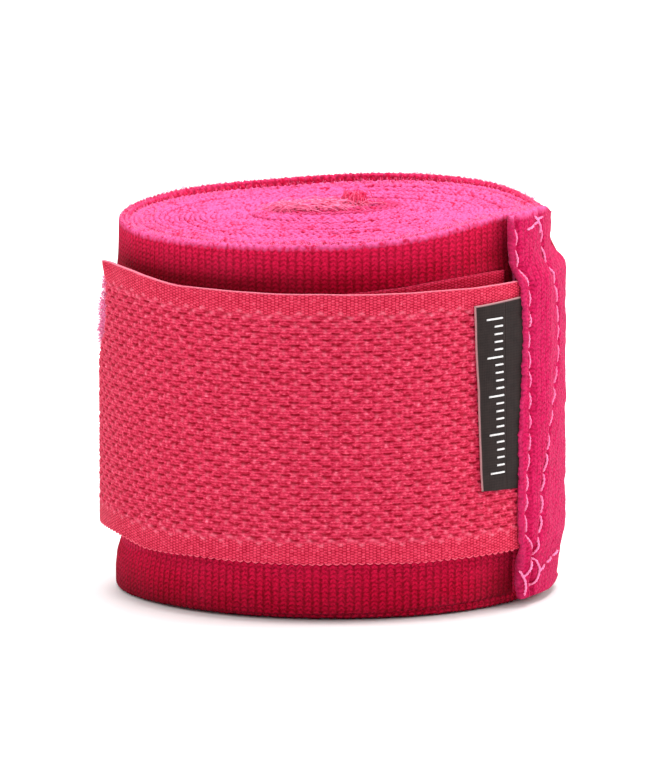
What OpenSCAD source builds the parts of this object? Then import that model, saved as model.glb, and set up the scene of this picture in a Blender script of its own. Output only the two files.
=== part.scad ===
// Elastic hand wrap, rolled up for storage.
//
// The strip is wound round its own thumb loop and stands on its edge. Its sewn hem is at the
// front right, and the hook tape that starts in the hem closes over the loop tape in front.
// Millimetres, +Z up along the roll's axis, the closure faces -Y, the hem is towards +X.
// A winding angle u is counted in degrees from the strip's sewn end, inwards along the strip:
// 0 is the hem's edge, 360 the same place one turn deeper, and below 0 lies the hook tape.

/* [Strip] */
// Width of the elastic strip, which is the height of the roll
strip_w = 50; // [38:1:75]
// Thickness of the wound strip
strip_t = 0.6; // [0.4:0.05:0.62]
// Radius of the roll to the middle of the strip at its sewn end
roll_r = 29.45; // [26:0.05:34]
// Number of turns in the roll
turns = 32.5; // [30:0.5:34]

/* [Core] */
// Length of the flattened space that the first turn is wound round
core_long = 14; // [10:0.5:16]
// Thickness of that space
core_short = 4.6; // [4:0.1:6]
// Turn of the flattened core from the X axis
core_turn = 14; // [0:1:90]
// Thickness of the folded strap of the thumb loop
loop_strap_t = 0.7; // [0.5:0.05:0.9]
// How far the thumb loop's strap stops short of the strip's two edges
loop_inset = 0.6; // [0:0.1:5]

/* [Closure] */
// Angle of the hem's front edge, from the front (-Y) towards +X
hem_phi = 50; // [40:1:60]
// Angle that the hem covers
hem_span = 36; // [24:6:42]
// Height of the hem, where the sewing spreads the strip
hem_w = 52.5; // [50:0.5:54]
// Angle that the hook tape covers in front of the hem
hook_span = 136; // [100:4:150]
// Width of the hook tape
hook_w = 36.6; // [25:1:38]
// Height of the hook tape's lower edge
hook_z = 7.3; // [2:0.1:8]
// Thickness of the hook tape's woven backing
hook_t = 0.55; // [0.4:0.05:0.8]
// Height of the hooks
hook_pile = 0.5; // [0.3:0.05:0.8]
// How much further the hook tape's free end stands off the roll
hook_slack = 0.4; // [0:0.1:1]
// Width of the loop tape
loop_w = 37; // [25:1:38]
// Height of the loop tape's lower edge
loop_z = 8.3; // [2:0.1:9]
// Thickness of the loop tape's backing
loop_t = 0.35; // [0.2:0.05:0.5]
// Height of the loop pile
loop_pile_t = 0.55; // [0.3:0.05:0.8]

/* [Label] */
// Height of the label
label_h = 25; // [15:1:30]
// Height of the label's lower edge
label_z = 16.5; // [10:0.1:18]
// Length that the label shows in front of the hem, along the tape
label_len = 8.2; // [6:0.2:10]
// Thickness of the folded label
label_t = 0.3; // [0.2:0.05:0.4]

/* [Hidden] */

// Steps of the outlines: coarse on the inner turns, fine where pieces lie against each other
coarse = 12;
fine = 6;
// Winding angles where the strip is divided: tail, outer, middle and core turns
tail_span = 60;
outer_end = 4 * 360 + tail_span;
middle_end = 17 * 360 + tail_span;
wind_end = 360 * turns;
// Angular gap between pieces that move apart, and the clearance between sewn layers
split = 0.3;
seat = 0.03;
// Clearance between the hooks and the loop pile
grip_gap = 0.15;
// Winding angles of the loop tape, which is sewn to the outermost full turn, and of its bare end
loop_from = 359.4;
loop_to = 210;
end_span = 3;
// The hook tape's four stretches, its hinges between them
hook_parts = 4;
hook_step = hook_span / hook_parts;
// Depth of the hook tape's end inside the hem, and the thickness of the hem's fold over it
root_span = 14;
root_t = 1;
fold_t = 0.7;
// Label: it is free from here on, past the part that the hem's seam holds down
label_bend = 3;
label_gap = 0.1;
// Thread
thread_d = 0.34;
stitch_len = 2.3;

red = [0.82, 0.06, 0.30];
pink = [0.97, 0.20, 0.60];
coral = [0.87, 0.23, 0.36];
pale = [0.98, 0.62, 0.78];
black = [0.17, 0.15, 0.15];

// ---- Winding rule -------------------------------------------------------------------------

function wind_share(u) = u / wind_end;
function half_long(u) = roll_r + (core_long / 2 - roll_r) * wind_share(u);
function half_short(u) = roll_r + (core_short / 2 - roll_r) * wind_share(u);
function turned(p, a) = [p.x * cos(a) - p.y * sin(a), p.x * sin(a) + p.y * cos(a)];

// Point of the winding at angle u, lifted outwards from the middle of the strip
function wound(u, lift = 0) =
    let (
        t = hem_phi + u - core_turn,
        a = half_long(u),
        b = half_short(u),
        out = [sin(t) / a, -cos(t) / b]
    )
    turned([a * sin(t), -b * cos(t)] + lift * out / norm(out), core_turn);

// Winding angles from one end to the other in equal steps
function angles(from, to, step) =
    let (n = max(1, ceil(abs(to - from) / step)))
    [for (i = [0:n]) from + (to - from) * i / n];

// Outline of a layer that follows the winding between two lifts, each a rule of the angle
function layer(us, low, high) = concat(
    [for (u = us) wound(u, low(u))],
    [for (i = [len(us) - 1:-1:0]) wound(us[i], high(us[i]))]
);

// ---- Lifts of each layer, from the middle of the strip --------------------------------------

face = strip_t / 2;
loop_low = face + seat;
loop_mid = loop_low + loop_t;
loop_high = loop_mid + seat + loop_pile_t;
// One turn of the winding at the hem, as radius
pitch = (roll_r - (core_long + core_short) / 4) / turns;
bed_low = loop_high + grip_gap - pitch;
bed_high = bed_low + hook_pile;
tape_low = bed_high + seat;
tape_high = tape_low + hook_t;
label_low = tape_high + label_gap;
label_high = label_low + label_t;

function slack(u) = hook_slack * pow(u / hook_span, 2);
function hem_low(u) = face + seat + (u < root_span + 1 ? root_t + seat : 0);
function hem_high(u) = face + fold_t + root_t * (1 - smooth((u - root_span) / (hem_span - root_span)));
function smooth(x) = let (c = min(1, max(0, x))) c * c * (3 - 2 * c);

// ---- Place of the roll: the origin is under the middle of the object's own box ---------------

reach = concat(
    [for (u = angles(0, 360, fine)) wound(u, face)],
    [for (u = angles(-split, -hook_span, fine)) wound(u, tape_high + slack(u))],
    [for (u = angles(0, hem_span, fine)) wound(u, hem_high(u))]
);
reach_x = [for (p = reach) p.x];
reach_y = [for (p = reach) p.y];
roll_at = -[max(reach_x) + min(reach_x), max(reach_y) + min(reach_y)] / 2;

// Pieces are drawn round the roll's axis and stood on the ground
module stand(z, h) {
    translate([roll_at.x, roll_at.y, z]) linear_extrude(h) children();
}

module band(us, low, high, z, h) {
    stand(z, h) polygon(layer(us, low, high));
}

// ---- Strip -----------------------------------------------------------------------------------

module turns_between(from, to, step) {
    band(angles(from, to, step), function (u) -face, function (u) face, 0, strip_w);
}

module wrap_core_turns() {
    color(pink) turns_between(middle_end + split, wind_end, coarse);
}

module wrap_middle_turns() {
    color(pink) turns_between(outer_end + split, middle_end - split, coarse);
}

module wrap_outer_turns() {
    color(red) turns_between(tail_span + split, outer_end - split, fine);
}

module wrap_tail() {
    color(red) turns_between(0, tail_span, fine);
}

// ---- Thumb loop ------------------------------------------------------------------------------

loop_out_l = core_long - 2 * strip_t - 1;
loop_out_w = core_short - 2 * strip_t - 0.6;

module slot_shape(l, w) {
    hull() for (side = [-1, 1]) translate([side * (l - w) / 2, 0]) circle(d = w, $fn = 32);
}

module thumb_loop() {
    color(pink) stand(loop_inset, strip_w - 2 * loop_inset) rotate(core_turn) difference() {
        slot_shape(loop_out_l, loop_out_w);
        slot_shape(loop_out_l - 2 * loop_strap_t, loop_out_w - 2 * loop_strap_t);
    }
}

// Bars of thread that close the loop at the end where the strip leaves it
module thumb_loop_bartack() {
    bar_l = loop_out_w - 2 * loop_strap_t - 0.1;
    bars = 6;
    bar_w = 1.2;
    rise = (strip_w - 2 * loop_inset - bar_w) / bars;
    color(pale) for (i = [0:bars - 1]) stand(loop_inset + (i + 0.5) * rise, bar_w) rotate(core_turn)
        translate([-loop_out_l / 4, 0]) square([thread_d, bar_l], center = true);
}

// ---- Loop tape, on the outermost full turn -----------------------------------------------------

module loop_tape() {
    color(coral) band(
        angles(loop_from, loop_to, fine), function (u) loop_low, function (u) loop_mid, loop_z, loop_w
    );
}

module loop_pile() {
    edge = 2.6;
    color(pale) band(
        angles(loop_from, loop_to + end_span, fine),
        function (u) loop_mid + seat, function (u) loop_high,
        loop_z + edge, loop_w - 2 * edge
    );
}

// Running stitches along the tape's two edges and across its far end, which the pile leaves bare
module loop_tape_stitches() {
    arc = 4.6;
    low = loop_mid + 0.06;
    high = loop_mid + 0.3;
    rows = [loop_z + 1, loop_z + loop_w - 1 - thread_d];
    color(pale) {
        for (z = rows, u = [loop_to + 3 : arc * 1.35 : loop_from - arc])
            band([u, u + arc], function (u) low, function (u) high, z, thread_d);
        for (i = [0:9])
            band([loop_to + 0.8, loop_to + 1.5], function (u) low, function (u) high,
                loop_z + 2 + i * 3.4, stitch_len);
    }
}

// ---- Hem ---------------------------------------------------------------------------------------

module hem_fold() {
    color(pink) band(
        concat(angles(0, root_span, 3.5), [root_span + 0.9, root_span + 1.1], angles(root_span + 5, hem_span, 4)),
        function (u) hem_low(u), function (u) hem_high(u), 0, hem_w
    );
}

// A stitch that lies on the hem at winding angle u and height z, leaning by tilt degrees
module hem_stitch(u, z, tilt = 0, length = stitch_len) {
    at = wound(u, hem_high(u) + thread_d / 2 + 0.16);
    translate([roll_at.x + at.x, roll_at.y + at.y, z]) rotate([0, 0, hem_phi + u]) rotate([0, tilt, 0])
        cube([thread_d, thread_d, length], center = true);
}

function rear_row(z) = 5 + 19 * exp(-pow((z - 35) / 13, 2));
function front_row(z) = 3 + 1.5 * cos(z * 14);

module hem_front_stitches() {
    color(pale) for (i = [0:16]) let (z = 3.4 + i * 2.85) hem_stitch(front_row(z), z);
}

module hem_rear_stitches() {
    color(pale) for (i = [0:14]) let (
        z = 8.5 + i * 2.85,
        lean = atan((rear_row(z + 1) - rear_row(z - 1)) * PI / 180 * roll_r / 2)
    ) hem_stitch(rear_row(z), z, lean);
}

// The two short rows that cross the hem, near its top and its foot
module hem_cross_stitches() {
    color(pale) for (row = [[hem_w - 1.6, 1], [4.2, -1]], i = [0:2])
        hem_stitch(8 + i * 6, row[0] + row[1] * i * 0.5, 78);
}

// The cut ends of the front row's thread, one each side of the row's foot
module thread_tails() {
    color(pale) {
        hem_stitch(1.6, 2.6, 12, 3.4);
        hem_stitch(6.6, 2, -8, 2.6);
    }
}

// ---- Hook tape -----------------------------------------------------------------------------------

module hook_tape_root() {
    color(coral) band(
        angles(0.3, root_span, fine), function (u) face + seat, function (u) face + root_t, hook_z, hook_w
    );
}

function hook_angles(i) = angles(-(i - 1) * hook_step - split, -i * hook_step, fine);

module hook_tape(i) {
    color(coral) band(
        hook_angles(i), function (u) tape_low + slack(u), function (u) tape_high + slack(u), hook_z, hook_w
    );
}

module hook_bed(i) {
    edge = 2.6;
    color(coral) band(
        hook_angles(i), function (u) bed_low + slack(u), function (u) bed_high + slack(u),
        hook_z + edge, hook_w - 2 * edge
    );
}

// ---- Label ---------------------------------------------------------------------------------------

label_from = -label_bend * 180 / (PI * roll_r);
label_to = label_from - (label_len - label_bend) * 180 / (PI * roll_r);

module label() {
    color(black) band(
        angles(label_from, label_to, fine), function (u) label_low + slack(u),
        function (u) label_high + slack(u), label_z, label_h
    );
}

wrap_core_turns();
wrap_middle_turns();
wrap_outer_turns();
wrap_tail();
thumb_loop();
thumb_loop_bartack();
loop_tape();
loop_pile();
loop_tape_stitches();
hem_fold();
hem_front_stitches();
hem_rear_stitches();
hem_cross_stitches();
thread_tails();
hook_tape_root();
hook_tape(1);  // hook_tape_1
hook_tape(2);  // hook_tape_2
hook_tape(3);  // hook_tape_3
hook_tape(4);  // hook_tape_4
hook_bed(1);  // hook_bed_1
hook_bed(2);  // hook_bed_2
hook_bed(3);  // hook_bed_3
hook_bed(4);  // hook_bed_4
label();
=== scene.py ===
# %% [markdown]
# # A rolled hand wrap
# A hand wrap is one long elastic strip. For storage it is wound round its own thumb loop and held shut
# by a hook tape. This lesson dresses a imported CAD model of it: the frame says where each body is and
# how it moves, and every visible cloth, thread and fibre is made here. The frame loads first, and
# nothing is left selected, because an operator acts on all that is selected.

# %% Load the frame
import math

import bpy
import bmesh
import numpy as np
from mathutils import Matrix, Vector


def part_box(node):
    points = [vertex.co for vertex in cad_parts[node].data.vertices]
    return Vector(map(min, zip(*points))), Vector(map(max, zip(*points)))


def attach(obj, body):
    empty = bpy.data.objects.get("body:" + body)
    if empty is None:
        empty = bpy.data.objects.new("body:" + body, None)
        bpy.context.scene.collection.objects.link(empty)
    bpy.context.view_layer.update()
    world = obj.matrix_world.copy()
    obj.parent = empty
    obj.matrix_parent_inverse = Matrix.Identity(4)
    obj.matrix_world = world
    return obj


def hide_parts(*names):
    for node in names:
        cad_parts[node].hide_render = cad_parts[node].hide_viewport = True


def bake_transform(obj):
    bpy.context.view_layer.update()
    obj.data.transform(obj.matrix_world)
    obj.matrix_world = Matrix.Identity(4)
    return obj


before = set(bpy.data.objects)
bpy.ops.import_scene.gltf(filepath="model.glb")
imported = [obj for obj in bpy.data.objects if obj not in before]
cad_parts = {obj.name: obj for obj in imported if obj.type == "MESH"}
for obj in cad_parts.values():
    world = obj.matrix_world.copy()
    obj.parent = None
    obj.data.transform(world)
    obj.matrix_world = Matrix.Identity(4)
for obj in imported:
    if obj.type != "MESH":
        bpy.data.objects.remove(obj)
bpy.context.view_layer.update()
bpy.ops.object.select_all(action="DESELECT")

# %% [markdown]
# ## Camera, light and floor
# A product like this is shown on white: the light comes from a large soft source above, and
# the floor and backdrop burn out. The camera comes first, because everything else is judged through it.
# A long lens from nearly level keeps the roll's top a thin ellipse, as the eye expects from a distance.

# %% Camera, light and floor
MM = 0.001
TARGET = Vector((-0.00006, 0.0, 0.02597))
DISTANCE = 2.0
ELEVATION = math.radians(9.6)
LENS = 691.5

camera_data = bpy.data.cameras.new("camera")
camera_data.lens = LENS
camera_data.sensor_width = 36.0
camera_data.clip_end = 20.0
camera = bpy.data.objects.new("camera", camera_data)
bpy.context.scene.collection.objects.link(camera)
camera.location = TARGET + DISTANCE * Vector((0.0, -math.cos(ELEVATION), math.sin(ELEVATION)))
camera.rotation_euler = (TARGET - camera.location).to_track_quat("-Z", "Y").to_euler()
bpy.context.scene.camera = camera
bpy.context.scene.view_settings.view_transform = "Standard"


def soft_light(name, place, size, watts, colour=(1.0, 1.0, 1.0)):
    """A square area light that looks at the roll."""
    data = bpy.data.lights.new(name, "AREA")
    data.size = size
    data.energy = watts
    data.color = colour
    lamp = bpy.data.objects.new(name, data)
    bpy.context.scene.collection.objects.link(lamp)
    lamp.location = place
    lamp.rotation_euler = (Vector((0, 0, 0.03)) - Vector(place)).to_track_quat("-Z", "Y").to_euler()
    return lamp


soft_light("top_light", (0.05, 0.12, 0.75), 0.6, 8.6)
soft_light("left_light", (-0.7, 0.05, 0.35), 0.35, 1.3)
soft_light("right_light", (0.7, 0.1, 0.35), 0.35, 3.2)
soft_light("front_light", (-0.15, -0.9, 0.5), 0.5, 2.4)

world = bpy.data.worlds.new("studio")
world.use_nodes = True
world.node_tree.nodes["Background"].inputs["Color"].default_value = (1.0, 1.0, 1.0, 1.0)
world.node_tree.nodes["Background"].inputs["Strength"].default_value = 0.62
bpy.context.scene.world = world
print("camera", [round(v, 3) for v in camera.location], "lamps 4")

# %% [markdown]
# ## The winding rule
# Every layer of the roll follows one spiral, so one function places them all. A winding angle is
# counted in degrees from the strip's sewn end, inwards. The core is a flattened oval, because the
# thumb loop lies folded in it, and the turns grow rounder towards the outside. The roll's axis is read
# from the frame: the thumb loop's box is centred on it.

# %% The winding rule
ROLL_R = 29.45 * MM
TURNS = 32.5
CORE_LONG = 14.0 * MM
CORE_SHORT = 4.6 * MM
CORE_TURN = math.radians(14.0)
HEM_PHI = math.radians(50.0)
TAIL_SPAN = 60.0
STRIP_T = 0.6 * MM
FACE = STRIP_T / 2
MID_HEIGHT = 25.0 * MM
WIND_END = 360.0 * TURNS
STRIP_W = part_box("wrap_outer_turns")[1].z
loop_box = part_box("thumb_loop")
AXIS = (loop_box[0] + loop_box[1]) / 2


def in_core(x, y):
    """Points in the oval core's own axes, turned and moved to their place in the frame."""
    c, s = math.cos(CORE_TURN), math.sin(CORE_TURN)
    return AXIS.x + x * c - y * s, AXIS.y + x * s + y * c


def wound(u, lift=0.0):
    """Points (x, y) of the winding at angles u, lifted outwards from the middle of the strip."""
    u = np.asarray(u, float)
    t = HEM_PHI + np.radians(u) - CORE_TURN
    share = u / WIND_END
    a = ROLL_R + (CORE_LONG / 2 - ROLL_R) * share
    b = ROLL_R + (CORE_SHORT / 2 - ROLL_R) * share
    nx, ny = np.sin(t) / a, -np.cos(t) / b
    n = np.hypot(nx, ny)
    x = a * np.sin(t) + lift * nx / n
    y = -b * np.cos(t) + lift * ny / n
    return in_core(x, y)


def on_roll(u, lift, z):
    """Points of the roll as an array, from winding angles, lifts and heights."""
    u, lift, z = np.broadcast_arrays(u, lift, z)
    x, y = wound(u, lift)
    return np.stack([x, y, z], axis=-1)


def spot(u, lift, z):
    """One point of the roll as a plain tuple."""
    return tuple(float(v) for v in on_roll(u, lift, z))


run_u = np.arange(-170.0, WIND_END + 2.0, 1.0)
run_x, run_y = wound(run_u)
run_s = np.concatenate(([0.0], np.cumsum(np.hypot(np.diff(run_x), np.diff(run_y)))))
run_s -= np.interp(0.0, run_u, run_s)


def length_at(u):
    """Length along the strip from its sewn end to winding angle u, below 0 on the hook tape."""
    return np.interp(u, run_u, run_s)


def angle_at(s):
    """Winding angle at a length along the strip."""
    return np.interp(s, run_s, run_u)


print("strip wound", round(float(length_at(WIND_END)), 3), "m, width", round(STRIP_W, 4))

# %% [markdown]
# ## Small helpers for shapes
# Cloth isn't even, so a few smooth waves of fixed phase stand in for its drift. A bell is a bump with
# a soft edge, and a ramp is a smooth step. The random numbers are seeded, so each run is the same.

# %% Waves, bells and ramps
rng = np.random.default_rng(7)


def bell(x, middle, width):
    return np.exp(-(((np.asarray(x, float) - middle) / width) ** 2))


def around(phi, middle, width):
    """A bell on angles round the roll, in degrees, with no step where they start again."""
    return bell((phi - middle + 180.0) % 360.0 - 180.0, 0.0, width)


def ramp(x, start, end):
    t = np.clip((np.asarray(x, float) - start) / (end - start), 0.0, 1.0)
    return t * t * (3 - 2 * t)


def drift(x, pitch, phase=0.0):
    """A slow uneven wave between about -1 and 1."""
    w = 2 * math.pi * np.asarray(x, float) / pitch
    wave = 0.55 * np.sin(w + phase) + 0.3 * np.sin(1.73 * w + 2.1 * phase + 1.0)
    return wave + 0.15 * np.sin(3.1 * w + phase * 3.7)


def add_tag(mesh, tag, values):
    """A float for every point of the mesh, which its material reads."""
    layer = mesh.attributes.new(tag, "FLOAT", "POINT")
    layer.data.foreach_set("value", values.astype(np.float32).ravel())


def swept_mesh(name, points, uv, tags=None):
    """A mesh through a grid of points: rows along the piece, and columns round its section.

    The section closes on itself and the two ends are capped, so the piece is a solid. uv and tags
    are given for every point; tags is a float attribute that materials read.
    """
    rows, cols = points.shape[:2]
    index = np.arange(rows * cols).reshape(rows, cols)
    nxt = np.roll(index, -1, axis=1)
    quads = np.stack([index[:-1], nxt[:-1], nxt[1:], index[1:]], axis=-1).reshape(-1, 4)
    faces = [tuple(map(int, q)) for q in quads]
    faces.append(tuple(int(i) for i in index[0][::-1]))
    faces.append(tuple(int(i) for i in index[-1]))
    mesh = bpy.data.meshes.new(name)
    mesh.from_pydata(points.reshape(-1, 3).tolist(), [], faces)
    work = bmesh.new()
    work.from_mesh(mesh)
    bmesh.ops.recalc_face_normals(work, faces=work.faces)
    work.to_mesh(mesh)
    work.free()
    corners = np.zeros(len(mesh.loops), np.int32)
    mesh.loops.foreach_get("vertex_index", corners)
    layer = mesh.uv_layers.new(name="cloth")
    layer.data.foreach_set("uv", uv.reshape(-1, 2)[corners].astype(np.float32).ravel())
    for tag, values in (tags or {}).items():
        add_tag(mesh, tag, values)
    smooth = np.ones(len(mesh.polygons), bool)
    smooth[-2:] = False
    mesh.polygons.foreach_set("use_smooth", smooth)
    piece = bpy.data.objects.new(name, mesh)
    bpy.context.scene.collection.objects.link(piece)
    return piece


# %% [markdown]
# ## Shader maths as plain expressions
# Node trees are easier to read as sums and products. A small class wraps a socket, so that
# `1 - mask * 0.5` adds the Math nodes it needs. Any other node comes from one method, which sets the
# node's own settings first and then its sockets.

# %% Shader maths
class Sock:
    """A shader socket that can be used in an expression."""

    def __init__(self, tree, socket):
        self.tree = tree
        self.socket = socket

    def math(self, operation, *values):
        node = self.tree.nodes.new("ShaderNodeMath")
        node.operation = operation
        for i, value in enumerate(values):
            if isinstance(value, Sock):
                self.tree.links.new(value.socket, node.inputs[i])
            else:
                node.inputs[i].default_value = float(value)
        return Sock(self.tree, node.outputs[0])

    def __add__(self, other):
        return self.math("ADD", self, other)

    def __radd__(self, other):
        return self.math("ADD", other, self)

    def __sub__(self, other):
        return self.math("SUBTRACT", self, other)

    def __rsub__(self, other):
        return self.math("SUBTRACT", other, self)

    def __mul__(self, other):
        return self.math("MULTIPLY", self, other)

    def __rmul__(self, other):
        return self.math("MULTIPLY", other, self)

    def __truediv__(self, other):
        return self.math("DIVIDE", self, other)

    def fract(self):
        return self.math("FRACT", self)

    def floor(self):
        return self.math("FLOOR", self)

    def abs(self):
        return self.math("ABSOLUTE", self)

    def power(self, value):
        return self.math("POWER", self, value)

    def cosine(self):
        """Cosine of whole turns, brought between 0 and 1."""
        return self.math("COSINE", self * (2 * math.pi)) * 0.5 + 0.5

    def clamp(self, low=0.0, high=1.0):
        return self.math("MAXIMUM", self.math("MINIMUM", self, high), low)

    def between(self, start, end):
        """A smooth step from 0 at start to 1 at end."""
        return self.node("ShaderNodeMapRange", {"interpolation_type": "SMOOTHSTEP"},
                         {"Value": self, "From Min": start, "From Max": end}, "Result")

    def node(self, kind, settings, values, output=0):
        return add_node(self.tree, kind, settings, values, output)


def add_node(tree, kind, settings, values, output=0):
    """Any node: its settings first, then the values or links of its sockets."""
    node = tree.nodes.new(kind)
    for key, value in settings.items():
        setattr(node, key, value)
    for key, value in values.items():
        socket = node.inputs[key]
        if isinstance(value, Sock):
            tree.links.new(value.socket, socket)
        else:
            socket.default_value = value
    return Sock(tree, node.outputs[output])


def rgba(red, green, blue):
    return (red, green, blue, 1.0)


def blend_colour(tree, share, first, second):
    """Mix of two colours, each a value or a link."""
    node = tree.nodes.new("ShaderNodeMix")
    node.data_type = "RGBA"
    for socket, value in ((node.inputs[0], share), (node.inputs[6], first), (node.inputs[7], second)):
        if isinstance(value, Sock):
            tree.links.new(value.socket, socket)
        else:
            socket.default_value = value
    return Sock(tree, node.outputs[2])


def cloth_material(name, roughness, sheen, sheen_tint):
    """A new cloth material and its tree, with the even values set on the shader's own sockets."""
    material = bpy.data.materials.new(name)
    material.use_nodes = True
    shader = material.node_tree.nodes["Principled BSDF"]
    shader.inputs["Roughness"].default_value = roughness
    shader.inputs["Specular IOR Level"].default_value = 0.06
    shader.inputs["Sheen Weight"].default_value = sheen
    shader.inputs["Sheen Roughness"].default_value = 0.32
    shader.inputs["Sheen Tint"].default_value = sheen_tint
    return material, material.node_tree, shader


def finish_cloth(tree, shader, colour, height, strength, distance):
    """Joins the pattern's colour and its height to the shader."""
    tree.links.new(colour.socket, shader.inputs["Base Color"])
    relief = {"Strength": strength, "Distance": distance, "Height": height}
    bump = add_node(tree, "ShaderNodeBump", {}, relief)
    tree.links.new(bump.socket, shader.inputs["Normal"])


def cloth_run(tree):
    """The piece's own cloth coordinates in millimetres: along the cloth, and across its width."""
    uv = add_node(tree, "ShaderNodeUVMap", {"uv_map": "cloth"}, {})
    split = tree.nodes.new("ShaderNodeSeparateXYZ")
    tree.links.new(uv.socket, split.inputs[0])
    return Sock(tree, split.outputs[0]) * 1000.0, Sock(tree, split.outputs[1]) * 1000.0


def noise(tree, place, scale, detail):
    values = {"Vector": place, "Scale": scale, "Detail": detail}
    return add_node(tree, "ShaderNodeTexNoise", {}, values, "Fac")


def grain(tree, scale, detail=3.0):
    """Fine uneven noise in the object's own space, between 0 and 1."""
    return noise(tree, add_node(tree, "ShaderNodeTexCoord", {}, {}, "Object"), scale, detail)


def streaks(tree, along, across, long, fine):
    """Noise drawn out along the cloth, like fibres: long and fine are its sizes in millimetres."""
    place = add_node(tree, "ShaderNodeCombineXYZ", {}, {"X": along / long, "Y": across / fine})
    return noise(tree, place, 1.0, 2.0)


def tag_value(tree, name):
    """A float tag that the mesh carries at its points."""
    return add_node(tree, "ShaderNodeAttribute", {"attribute_name": name}, {}, "Fac")


print("shader helpers ready")

# %% [markdown]
# ## Elastic strip: its cloth
# The strip is a ribbed elastic weave: plump columns across the width, each a braid of short slanted
# yarns, with valleys between, painted darker as shade. The columns are real relief in the mesh, further on.
# The braid is finer than any mesh needs to be, so it is a pattern on the cloth's own coordinates. The woven
# edge is fuzzier and catches the light, so a tag on the mesh blends it towards a pinker tone: partly the
# fuzz's own colour, partly a painted highlight.

# %% Elastic strip material
RIB = 1.08
KNIT = 0.62


def elastic_material(name, deep, body, crest_pink, groove, knit, sheen, sheen_tint):
    """groove says how dark the painted shade in the valleys is, and knit how marked the braid is."""
    material, tree, shader = cloth_material(name, 0.9, sheen, sheen_tint)
    along, across = cloth_run(tree)
    strand = streaks(tree, along, across, 0.35, 0.28)
    column = (along / RIB + (strand - 0.5) * 0.42).fract()
    side = (column - 0.5).abs() * 2.0
    slant = across / KNIT + side * 0.5 + (strand - 0.5) * 0.9
    yarn = slant.cosine().power(0.7)
    valley = side.between(0.4, 1.0)
    fuzz = grain(tree, 2600.0)
    broad = grain(tree, 160.0, 2.0)
    height = (1.0 - valley * 0.8) * (yarn * 0.6 + 0.4) + fuzz * 0.5
    # Painted shade: groove darkens the valleys between the ribs.
    braid = (1.0 - valley * groove) * (yarn * knit + (1.0 - knit))
    tone = (braid + (fuzz - 0.5) * 1.5 + (strand - 0.5) * 0.9).clamp()
    wall = blend_colour(tree, tone, deep, body)
    wall = blend_colour(tree, broad.between(0.35, 0.75) * 0.03, wall, crest_pink)
    crest = tag_value(tree, "crest")
    # Painted shade: a tag darkens the wall to a deep red above the tape, near the floor and beside the hem.
    painted_shade = tag_value(tree, "painted_shade")
    wall = blend_colour(tree, painted_shade, wall, rgba(0.085, 0.0002, 0.002))
    lit = tag_value(tree, "lit")
    wall = blend_colour(tree, lit * (tone * 0.7 + 0.3), wall, rgba(0.76, 0.014, 0.085))
    dash = streaks(tree, along, across, 0.8, 3.0)
    speck = grain(tree, 1900.0, 4.0)
    # The upper edge's colour: pale pink specks, painted highlights on its fuzz, among darker dashes of yarn
    # and painted shade between the turns.
    fuzz_and_highlight_speckle = (speck * 0.75 + dash * 0.6 - 0.08).between(0.40, 0.62) * 0.88 + 0.12
    edge = blend_colour(tree, fuzz_and_highlight_speckle, body, crest_pink)
    # crest blends in the edge colour: partly the fuzz's own pink, partly a painted highlight on the upper
    # edge.
    colour = blend_colour(tree, crest, wall, edge)
    finish_cloth(tree, shader, colour, height, 0.75, 0.00022)
    return material


wrap_cloth = elastic_material("wrap_cloth", rgba(0.16, 0.0003, 0.005), rgba(0.51, 0.002, 0.032),
                              rgba(0.74, 0.100, 0.300), 0.8, 0.70, 0.06, rgba(1.0, 0.12, 0.35))
# The hem is the strip's own cloth folded over: its lighter, pinker dyes are partly a painted highlight for
# the light that falls on it.
hem_cloth = elastic_material("hem_cloth", rgba(0.18, 0.0006, 0.016), rgba(0.56, 0.009, 0.086),
                             rgba(0.80, 0.110, 0.32), 0.25, 0.38, 0.20, rgba(1.0, 0.34, 0.58))
print("materials", wrap_cloth.name, hem_cloth.name)

# %% [markdown]
# ## Elastic strip: how the turns lie
# A hand-wound roll isn't a turned cylinder. Its rim rises towards the hem, where sewing has spread the
# cloth, the middle stands up a little, and each turn sits at its own height. Each woven edge is rope-like.
# These rules give the upper edge's height and the small radial shifts for every point of the strip.

# %% How the turns lie
ROPE = 0.98 * MM


def facing(u):
    """Angle round the roll from the front, in degrees from -180 to 180."""
    phi = np.degrees(HEM_PHI) + np.asarray(u, float)
    return (phi + 180.0) % 360.0 - 180.0


def share_out(u):
    """How far out a turn lies: 0 at the axis and 1 at the outside."""
    return 1.0 - 0.82 * np.asarray(u, float) / WIND_END


turn_lift = rng.uniform(-0.30, 0.26, 64) * MM
turn_phase = rng.uniform(0.0, 6.28, 64)


def rim_rise(u):
    """How much higher than the plain width the strip's upper edge lies at winding angle u."""
    phi = facing(u)
    out = share_out(u)
    turn = np.clip(np.asarray(u, float) / 360.0, 0, 62)
    whole = turn.astype(int)
    mix = turn - whole
    own = turn_lift[whole] * (1 - mix) + turn_lift[whole + 1] * mix
    phase = turn_phase[whole] * (1 - mix) + turn_phase[whole + 1] * mix
    slope = (-0.15 + 0.72 * np.sin(np.radians(phi))) * MM * out
    hem = 2.05 * MM * bell(phi, 50.0, 26.0) * out ** 2.5
    proud = (0.62 * around(phi, 165.0, 55.0) + 0.45 * around(phi, -140.0, 45.0)) * MM * ramp(turn, 2.4, 1.6)
    proud = proud - (0.45 * around(phi, -164.0, 24.0) + 0.75 * around(phi, 108.0, 20.0)) * MM * out ** 3
    middle = 0.9 * MM * bell(out, 0.16, 0.16)
    sway = 0.1 * MM * np.sin(2 * np.radians(phi) + phase)
    return slope + hem + proud + middle + own * out + sway


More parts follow.
